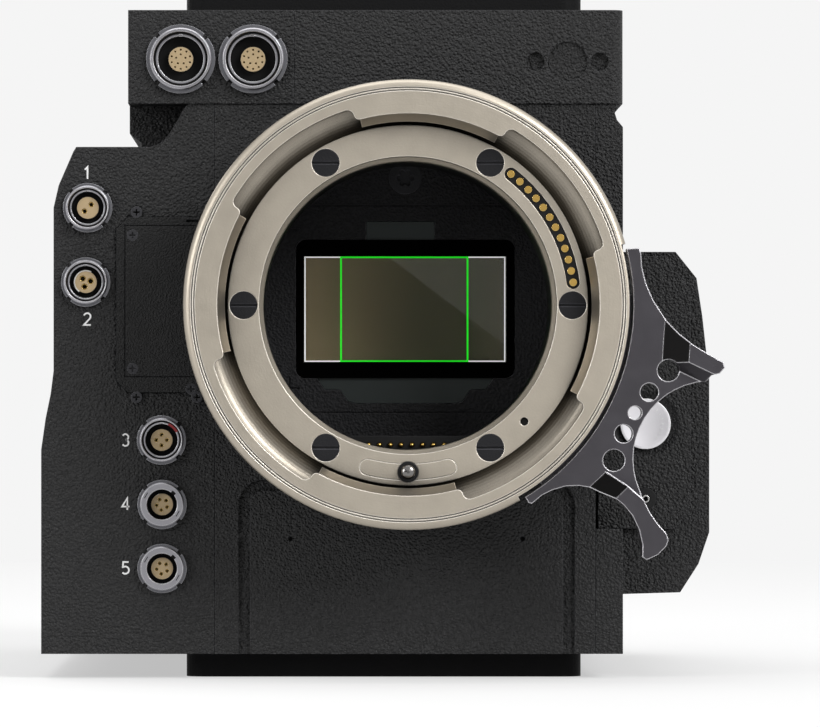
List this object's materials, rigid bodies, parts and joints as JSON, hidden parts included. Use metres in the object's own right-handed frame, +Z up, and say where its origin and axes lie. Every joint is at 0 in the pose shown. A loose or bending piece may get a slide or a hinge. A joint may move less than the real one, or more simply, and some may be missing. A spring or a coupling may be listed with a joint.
{
  "type": "digital cinema camera",
  "caption": "Digital cinema camera body with a bayonet lens mount and lock lever, side sockets, fan, media door, record button and rear battery plate.",
  "frame": {"origin": "centre of the lens flange's front face, on the lens axis", "axes": "-Y is the way the lens stands out, +Z up, +X to the right of someone facing the mount"},
  "size_m": [0.1409, 0.2002, 0.1409],
  "materials": {
    "champagne_steel": "satin",
    "dark_screw": "matt black oxide",
    "bright_screw": "turned",
    "lever_metal": "satin hard-anodised",
    "black_anodised": "matt anodised",
    "insulator": "moulded",
    "gold_contact": "gold-plated",
    "bright_pin": "polished",
    "bezel_black": "fine grain",
    "filter_grey": "satin",
    "mask_black": "dead matt",
    "filter_glass": "coated",
    "sensor_dark": "silicon under glass",
    "inner_metal": "machined",
    "circuit_board": "solder mask",
    "body_black": "wrinkle paint",
    "smooth_black": "satin paint",
    "socket_metal": "nickel-plated",
    "insert_cream": "moulded",
    "fan_plastic": "moulded",
    "button_silver": "turned",
    "button_grey": "moulded",
    "screen_glass": "gloss",
    "release_red": "anodised"
  },
  "bodies": {
    "camera": {"lens_flange": "champagne_steel", "flange_screws": "dark_screw", "contact_insulator": "insulator", "index_plate": "champagne_steel", "index_bush": "insulator", "index_pin": "bright_pin", "mount_base": "black_anodised", "throat_block": "insulator", "sensor_bezel": "bezel_black", "bezel_screw": "dark_screw", "filter_frame": "filter_grey", "sensor_mask": "mask_black", "cover_glass": "filter_glass", "sensor_carrier": "inner_metal", "image_sensor": "sensor_dark", "sensor_board": "circuit_board", "heat_sink": "inner_metal", "front_frame": "body_black", "connector_cover": "body_black", "access_panel": "body_black", "panel_screws": "bright_screw", "power_sockets": "socket_metal", "accessory_sockets": "socket_metal", "data_sockets": "socket_metal", "socket_nuts": "socket_metal", "socket_inserts": "insert_cream", "connector_panel": "body_black", "upper_front_cover": "body_black", "upper_housing": "body_black", "top_plate": "smooth_black", "base_plate": "smooth_black", "chassis": "inner_metal", "processor_board": "circuit_board", "fan_frame": "fan_plastic", "fan_grille": "smooth_black", "media_bay": "smooth_black", "door_pin": "bright_pin", "operator_cover": "body_black", "button_panel": "body_black", "remote_jack": "insulator", "display_glass": "screen_glass", "rear_panel": "body_black", "video_sockets": "socket_metal", "battery_plate": "smooth_black", "battery_contacts": "gold_contact"},
    "ring": {"lock_ring": "champagne_steel", "lock_lever": "lever_metal", "lever_screws": "bright_screw"},
    "mount_contacts": {"flange_contacts": "gold_contact"},
    "throat_pins": {"throat_contacts": "gold_contact"},
    "record_key": {"record_button": "button_silver"},
    "fan": {"fan_rotor": "fan_plastic"},
    "door": {"media_door": "body_black"},
    "upper_key": {"menu_button_upper": "button_grey"},
    "middle_key": {"menu_button_middle": "button_grey"},
    "lower_key": {"menu_button_lower": "button_grey"},
    "dial": {"jog_dial": "smooth_black"},
    "switch": {"power_switch": "button_grey"},
    "release": {"battery_release": "release_red"}
  },
  "joints": [
    {"name": "lock_ring_turn", "type": "hinge", "parent": "camera", "child": "ring", "pos_m": [0, 0, 0], "axis": [0, -1, 0], "range_deg": [0, 45]},
    {"name": "contact_press", "type": "slide", "parent": "camera", "child": "mount_contacts", "axis": [0, 1, 0], "range_m": [0, 0.00035], "stiffness_N_per_m": 900, "springref_m": -0.0003},
    {"name": "throat_contact_press", "type": "slide", "parent": "camera", "child": "throat_pins", "axis": [0, 1, 0], "range_m": [0, 0.0007], "stiffness_N_per_m": 500, "springref_m": -0.0005},
    {"name": "record_press", "type": "slide", "parent": "camera", "child": "record_key", "axis": [0, 1, 0], "range_m": [0, 0.0012], "stiffness_N_per_m": 800, "springref_m": -0.001},
    {"name": "fan_spin", "type": "hinge", "parent": "camera", "child": "fan", "pos_m": [0, 0.08, 0], "axis": [1, 0, 0], "continuous": true},
    {"name": "media_door_swing", "type": "hinge", "parent": "camera", "child": "door", "pos_m": [-0.07297, 0.1704, 0.004], "axis": [0, 0, -1], "range_deg": [0, 110]},
    {"name": "menu_upper_press", "type": "slide", "parent": "camera", "child": "upper_key", "axis": [-1, 0, 0], "range_m": [0, 0.0006], "stiffness_N_per_m": 600, "springref_m": -0.0006},
    {"name": "menu_middle_press", "type": "slide", "parent": "camera", "child": "middle_key", "axis": [-1, 0, 0], "range_m": [0, 0.0006], "stiffness_N_per_m": 600, "springref_m": -0.0006},
    {"name": "menu_lower_press", "type": "slide", "parent": "camera", "child": "lower_key", "axis": [-1, 0, 0], "range_m": [0, 0.0006], "stiffness_N_per_m": 600, "springref_m": -0.0006},
    {"name": "jog_dial_spin", "type": "hinge", "parent": "camera", "child": "dial", "pos_m": [0, 0.052, -0.03], "axis": [1, 0, 0], "continuous": true},
    {"name": "power_switch_flip", "type": "hinge", "parent": "camera", "child": "switch", "pos_m": [-0.056, 0.1783, -0.048], "axis": [-1, 0, 0], "range_deg": [0, 12]},
    {"name": "battery_release_slide", "type": "slide", "parent": "camera", "child": "release", "axis": [-1, 0, 0], "range_m": [0, 0.004], "stiffness_N_per_m": 400, "springref_m": -0.001}
  ]
}
